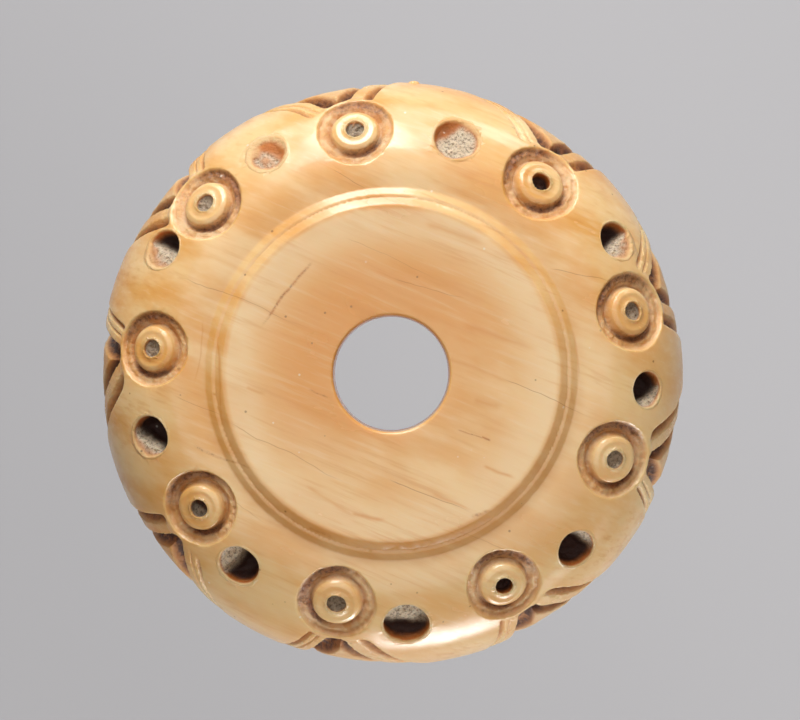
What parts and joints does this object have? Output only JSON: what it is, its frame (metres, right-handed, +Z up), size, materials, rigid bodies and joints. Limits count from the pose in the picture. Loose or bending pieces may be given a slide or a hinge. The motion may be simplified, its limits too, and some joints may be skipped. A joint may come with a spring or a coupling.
{
  "type": "bone spindle whorl",
  "caption": "Domed bone spindle whorl with a central bore, a ring of drilled ring-and-dot motifs and holes, and carved strapwork round its side.",
  "frame": {"origin": "centre of the flat underside, on the axis of the bore", "axes": "+Z up along the bore, towards the flat centre and the dome; +X and +Y lie in the underside, with a ring-and-dot motif near -21 degrees from +X"},
  "size_m": [0.03, 0.03, 0.01],
  "materials": {
    "bone": "old polished bone, warm ivory to tan, with brown dirt in its cuts"
  },
  "bodies": {
    "root": {"whorl": "bone"}
  },
  "joints": []
}
